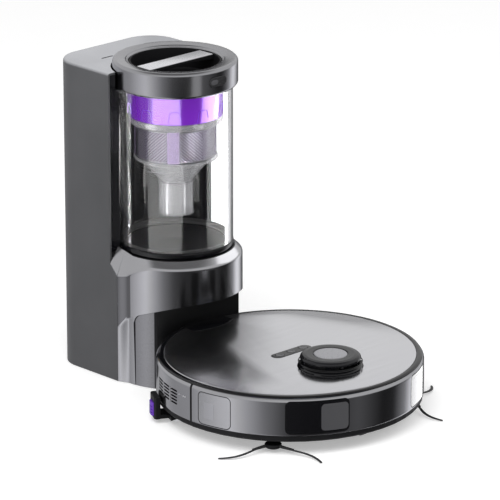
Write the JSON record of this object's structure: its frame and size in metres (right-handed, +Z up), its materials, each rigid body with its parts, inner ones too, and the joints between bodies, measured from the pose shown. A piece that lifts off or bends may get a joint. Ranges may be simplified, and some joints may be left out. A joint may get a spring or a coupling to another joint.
{
  "type": "robot vacuum with self-emptying dock",
  "caption": "Round floor-cleaning robot parked under the shelf of a tall self-emptying dock with a lift-out see-through cyclone canister.",
  "frame": {"origin": "on the floor, at the middle of the outline box of the docked pair", "axes": "+Z up; +Y towards the back of the dock; the cleaner and the canister face -Y; +X to the right seen from the front"},
  "size_m": [0.3934, 0.5374, 0.4341],
  "materials": {
    "charcoal": "satin charcoal moulding",
    "gunmetal": "glossy metallic gunmetal lacquer",
    "gloss_black": "gloss black",
    "matt_black": "matt black",
    "dark_grey": "dark grey metallic",
    "lid_grey": "dark metallic grey",
    "handle_grey": "light metallic grey",
    "clear": "clear transparent",
    "violet": "translucent violet",
    "violet_gloss": "gloss violet",
    "brush_violet": "violet bristle and rubber",
    "screen_metal": "perforated steel",
    "brushed_silver": "brushed silver",
    "smoke": "smoked",
    "rubber": "black rubber",
    "brass": "bare contact metal",
    "microfibre": "woven microfibre",
    "battery_blue": "shrink-wrapped cell pack"
  },
  "bodies": {
    "dock": {"tower_shell": "charcoal", "canister_bay": "gloss_black", "lid_collar": "gloss_black", "front_housing": "gunmetal", "shelf_underside": "matt_black", "dock_bay": "dark_grey", "suction_seal": "rubber", "charging_contact_left": "brass", "charging_contact_right": "brass", "canister_seat": "matt_black", "base_plate": "matt_black", "foot_front": "rubber", "foot_rear": "rubber", "suction_duct": "matt_black", "dust_fan": "matt_black", "exhaust_grille": "matt_black", "power_inlet": "matt_black"},
    "canister": {"canister_cup": "clear", "canister_base": "gloss_black", "canister_flap": "matt_black"},
    "cyclone": {"lid_ring": "lid_grey", "lid_recess": "matt_black", "handle_bar": "handle_grey", "filter_ring": "violet", "core_flange": "clear", "mesh_screen": "screen_metal", "core_funnel": "clear"},
    "lid_button": {"release_button": "gloss_black"},
    "cleaner": {"robot_chassis": "matt_black", "rear_shell": "gunmetal", "top_disc": "brushed_silver", "top_rim": "gloss_black", "button_panel": "gloss_black", "dust_box": "matt_black", "lidar_cover": "gloss_black", "brush_guard": "dark_grey", "mop_bracket": "matt_black", "mop_pad": "microfibre", "battery": "battery_blue", "suction_fan": "dark_grey"},
    "bumper_body": {"bumper": "gunmetal", "side_window_left": "smoke", "side_window_right": "smoke", "sensor_window_left": "gloss_black", "sensor_window_right": "gloss_black"},
    "button_home": {"home_button": "smoke"},
    "button_power": {"power_button": "smoke"},
    "button_spot": {"spot_button": "smoke"},
    "turret": {"lidar_turret": "matt_black"},
    "arm_left": {"drive_arm_left": "matt_black"},
    "arm_right": {"drive_arm_right": "matt_black"},
    "wheel_left": {"drive_wheel_left": "rubber"},
    "wheel_right": {"drive_wheel_right": "rubber"},
    "caster": {"caster_fork": "matt_black"},
    "caster_roller": {"caster_wheel": "rubber"},
    "roller": {"main_brush": "brush_violet"},
    "brush_left": {"side_brush_left": "matt_black"},
    "brush_right": {"side_brush_right": "matt_black"},
    "clip_left": {"mop_clip_left": "violet_gloss"},
    "clip_right": {"mop_clip_right": "violet_gloss"}
  },
  "joints": [
    {"name": "undock", "type": "slide", "parent": "dock", "child": "cleaner", "axis": [0, -1, 0], "range_m": [0, 0.25]},
    {"name": "canister_lift", "type": "slide", "parent": "dock", "child": "canister", "axis": [0, 0, 1], "range_m": [0, 0.25]},
    {"name": "cyclone_lift", "type": "slide", "parent": "canister", "child": "cyclone", "axis": [0, 0, 1], "range_m": [0, 0.19]},
    {"name": "lid_release_press", "type": "slide", "parent": "cyclone", "child": "lid_button", "axis": [0, 1, 0], "range_m": [0, 0.0018], "stiffness_N_per_m": 600},
    {"name": "bumper_press", "type": "slide", "parent": "cleaner", "child": "bumper_body", "axis": [0, 1, 0], "range_m": [0, 0.003], "stiffness_N_per_m": 900},
    {"name": "home_press", "type": "slide", "parent": "cleaner", "child": "button_home", "axis": [0, 0, -1], "range_m": [0, 0.0005], "stiffness_N_per_m": 800},
    {"name": "power_press", "type": "slide", "parent": "cleaner", "child": "button_power", "axis": [0, 0, -1], "range_m": [0, 0.0005], "stiffness_N_per_m": 800},
    {"name": "spot_press", "type": "slide", "parent": "cleaner", "child": "button_spot", "axis": [0, 0, -1], "range_m": [0, 0.0005], "stiffness_N_per_m": 800},
    {"name": "turret_spin", "type": "hinge", "parent": "cleaner", "child": "turret", "pos_m": [0, -0.1684, 0.085], "axis": [0, 0, 1], "continuous": true},
    {"name": "arm_drop_left", "type": "hinge", "parent": "cleaner", "child": "arm_left", "pos_m": [-0.0985, -0.0517, 0.045], "axis": [1, 0, 0], "range_deg": [0, 20], "stiffness_Nm_per_rad": 0.15, "springref_deg": 34.38},
    {"name": "wheel_spin_left", "type": "hinge", "parent": "arm_left", "child": "wheel_left", "pos_m": [-0.117, -0.0937, 0.035], "axis": [1, 0, 0], "continuous": true},
    {"name": "arm_drop_right", "type": "hinge", "parent": "cleaner", "child": "arm_right", "pos_m": [0.0985, -0.0517, 0.045], "axis": [1, 0, 0], "range_deg": [0, 20], "stiffness_Nm_per_rad": 0.15, "springref_deg": 34.38},
    {"name": "wheel_spin_right", "type": "hinge", "parent": "arm_right", "child": "wheel_right", "pos_m": [0.117, -0.0937, 0.035], "axis": [1, 0, 0], "continuous": true},
    {"name": "caster_swivel", "type": "hinge", "parent": "cleaner", "child": "caster", "pos_m": [0, -0.2287, 0.02], "axis": [0, 0, 1], "continuous": true},
    {"name": "caster_spin", "type": "hinge", "parent": "caster", "child": "caster_roller", "pos_m": [0, -0.2247, 0.011], "axis": [1, 0, 0], "continuous": true},
    {"name": "roller_spin", "type": "hinge", "parent": "cleaner", "child": "roller", "pos_m": [0, -0.0967, 0.0215], "axis": [1, 0, 0], "continuous": true},
    {"name": "side_brush_spin_left", "type": "hinge", "parent": "cleaner", "child": "brush_left", "pos_m": [-0.123, -0.1897, 0.008], "axis": [0, 0, 1], "continuous": true},
    {"name": "side_brush_spin_right", "type": "hinge", "parent": "cleaner", "child": "brush_right", "pos_m": [0.123, -0.1897, 0.008], "axis": [0, 0, 1], "continuous": true},
    {"name": "mop_clip_press_left", "type": "slide", "parent": "cleaner", "child": "clip_left", "axis": [0.866, -0.5, 0], "range_m": [0, 0.0024], "stiffness_N_per_m": 600},
    {"name": "mop_clip_press_right", "type": "slide", "parent": "cleaner", "child": "clip_right", "axis": [-0.866, -0.5, 0], "range_m": [0, 0.0024], "stiffness_N_per_m": 600}
  ]
}
